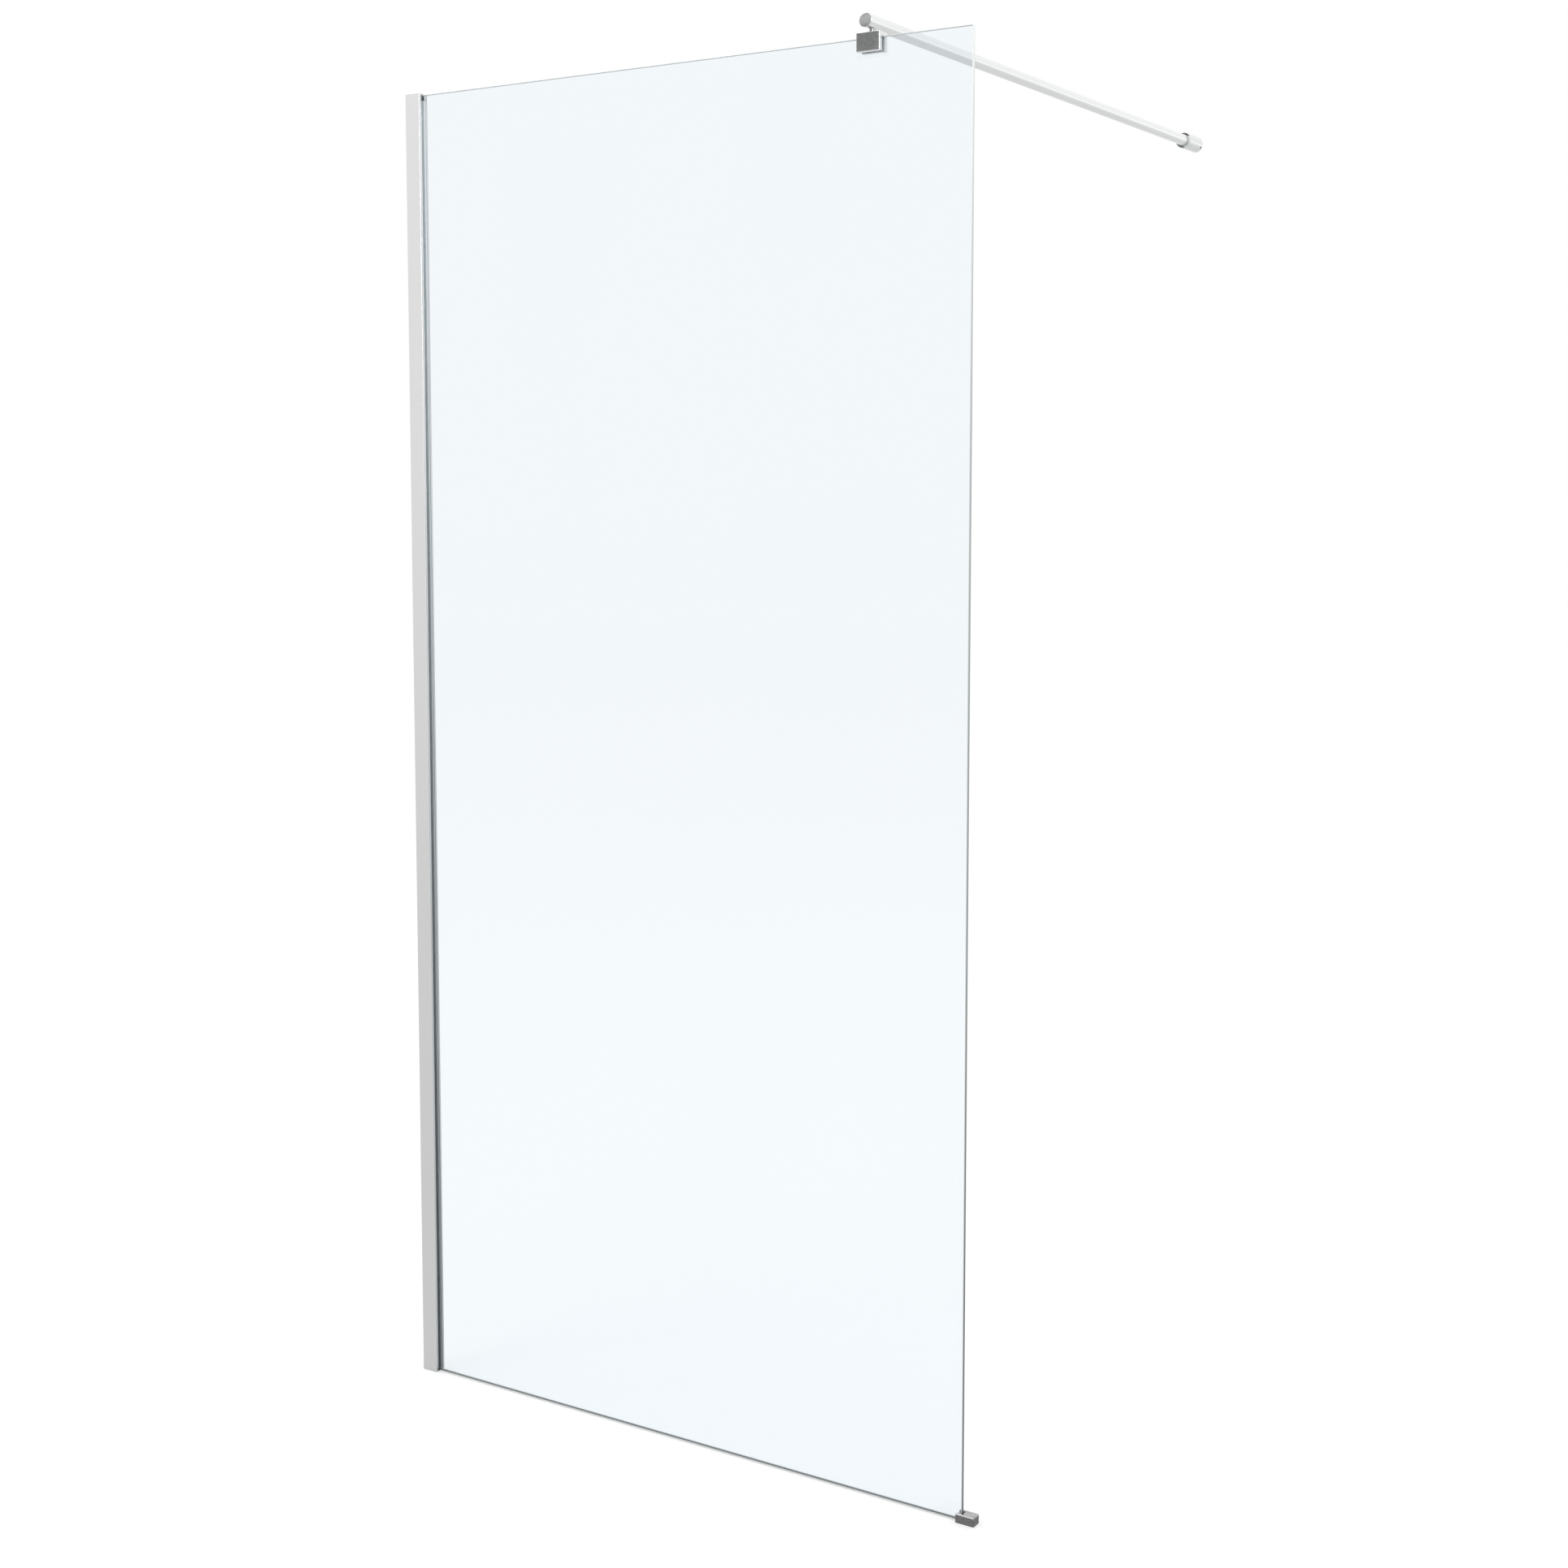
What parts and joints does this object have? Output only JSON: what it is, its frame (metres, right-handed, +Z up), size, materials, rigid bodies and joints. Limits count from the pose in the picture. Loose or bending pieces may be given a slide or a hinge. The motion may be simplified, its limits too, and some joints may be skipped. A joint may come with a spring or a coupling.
{
  "type": "walk-in shower screen",
  "caption": "Fixed clear glass walk-in shower screen with a wall profile, top glass clamp, round stabiliser bar to the opposite wall and a floor bracket.",
  "frame": {"origin": "on the wall face of the wall profile, in the middle plane of the glass, at floor level", "axes": "-X into the wall that carries the profile, +Y to the shower side and along the stabiliser bar to the opposite wall, +Z up"},
  "size_m": [0.979, 1.2, 2.031],
  "materials": {
    "profile_metal": "bright anodised aluminium, polished then dyed silver",
    "clear_gasket": "smooth grey soft PVC",
    "clear_glass": "polished clear toughened glass, ground edges",
    "grey_plastic": "moulded grey plastic",
    "steel_screw": "stainless steel",
    "chrome_trim": "polished chrome",
    "chrome_fitting": "polished chrome on die-cast metal",
    "chrome_bar": "polished tube",
    "soft_liner": "smooth grey soft PVC",
    "brass_core": "machined brass"
  },
  "bodies": {
    "wall_channel": {"wall_profile": "profile_metal", "profile_top_cap": "profile_metal"},
    "glazed_panel": {"glazing_profile": "profile_metal", "glass_setting_block": "grey_plastic", "glazing_gasket_front": "clear_gasket", "glazing_gasket_back": "clear_gasket", "glass_panel": "clear_glass", "profile_lock_screws": "steel_screw", "lock_screw_caps": "chrome_trim"},
    "glass_clamp": {"clamp_body": "chrome_fitting", "clamp_liner": "soft_liner", "clamp_pressure_plate": "steel_screw", "clamp_grub_screws": "steel_screw", "swivel_stem": "chrome_fitting"},
    "stabiliser_bar": {"bar_tube": "chrome_bar", "bar_insert": "brass_core", "bar_lock_screw": "steel_screw", "bar_end_cap": "chrome_trim"},
    "bar_socket": {"wall_socket": "chrome_fitting", "socket_bush": "grey_plastic", "socket_core": "brass_core", "socket_grub_screw": "steel_screw"},
    "floor_block": {"floor_bracket": "chrome_fitting", "floor_bracket_liner": "soft_liner", "floor_fixing_block": "brass_core", "bracket_grub_screw": "steel_screw"}
  },
  "joints": [
    {"name": "width_adjust", "type": "slide", "parent": "wall_channel", "child": "glazed_panel", "axis": [1, 0, 0], "range_m": [-0.002, 0.012]},
    {"name": "clamp_slide", "type": "slide", "parent": "glazed_panel", "child": "glass_clamp", "axis": [1, 0, 0], "range_m": [-0.7, 0.13]},
    {"name": "bar_swivel", "type": "hinge", "parent": "glass_clamp", "child": "stabiliser_bar", "pos_m": [0.807, 0, 2.017], "axis": [0, 0, 1], "range_deg": [-45, 45]},
    {"name": "socket_slide", "type": "slide", "parent": "stabiliser_bar", "child": "bar_socket", "axis": [0, 1, 0], "range_m": [-0.015, 0.015]},
    {"name": "bracket_slide", "type": "slide", "parent": "glazed_panel", "child": "floor_block", "axis": [1, 0, 0], "range_m": [-0.0025, 0.004]}
  ]
}
